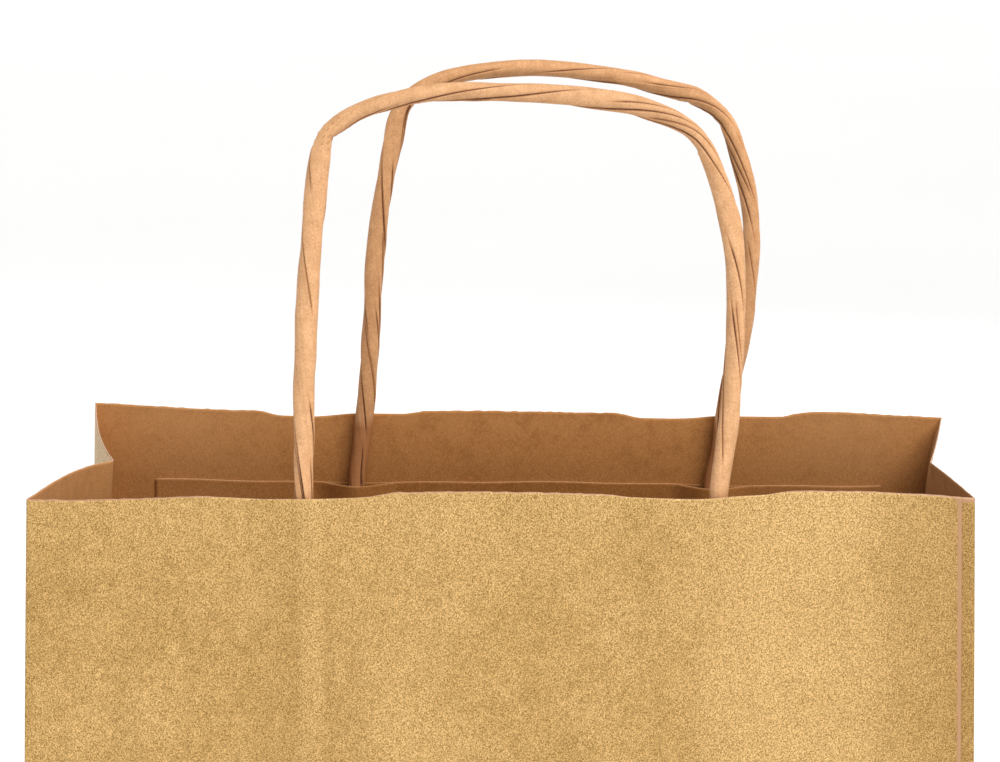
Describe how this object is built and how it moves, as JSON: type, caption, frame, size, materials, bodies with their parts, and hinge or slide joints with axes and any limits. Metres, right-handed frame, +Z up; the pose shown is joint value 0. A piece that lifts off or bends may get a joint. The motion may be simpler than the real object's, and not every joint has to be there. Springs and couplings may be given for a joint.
{
  "type": "gift bag",
  "caption": "Upright paper gift bag with folded side gussets, block bottom and twisted paper cord handles that fold in and out over the rim.",
  "frame": {"origin": "middle of the base, on the surface it stands on", "axes": "+X across the front panel to its right, +Y from the front panel to the rear panel, +Z up"},
  "size_m": [0.21, 0.12, 0.3589],
  "materials": {
    "gold_paper": "satin gold print on kraft",
    "kraft_paper": "matt natural kraft",
    "cord_paper": "matt twisted paper",
    "dry_glue": "dry paper glue"
  },
  "bodies": {
    "bag": {"front_panel": "gold_paper", "rear_panel": "gold_paper", "left_gusset_front": "gold_paper", "left_gusset_rear": "gold_paper", "right_gusset_front": "gold_paper", "right_gusset_rear": "gold_paper", "side_seam_flap": "gold_paper", "side_seam_glue": "dry_glue", "bottom_front_flap": "gold_paper", "bottom_rear_flap": "gold_paper", "bottom_left_tuck": "gold_paper", "bottom_right_tuck": "gold_paper", "bottom_lap_glue": "dry_glue", "bottom_left_glue": "dry_glue", "bottom_right_glue": "dry_glue", "front_handle_left_tail": "cord_paper", "front_handle_right_tail": "cord_paper", "front_patch_backing": "kraft_paper", "front_patch_cover": "kraft_paper", "front_patch_glue": "dry_glue", "rear_handle_left_tail": "cord_paper", "rear_handle_right_tail": "cord_paper", "rear_patch_backing": "kraft_paper", "rear_patch_cover": "kraft_paper", "rear_patch_glue": "dry_glue"},
    "front_handle": {"front_handle": "cord_paper"},
    "rear_handle": {"rear_handle": "cord_paper"}
  },
  "joints": [
    {"name": "front_handle_fold", "type": "hinge", "parent": "bag", "child": "front_handle", "pos_m": [0, -0.05662, 0.2695], "axis": [1, 0, 0], "range_deg": [-38, 90]},
    {"name": "rear_handle_fold", "type": "hinge", "parent": "bag", "child": "rear_handle", "pos_m": [0, 0.05662, 0.2695], "axis": [-1, 0, 0], "range_deg": [-38, 90]}
  ]
}
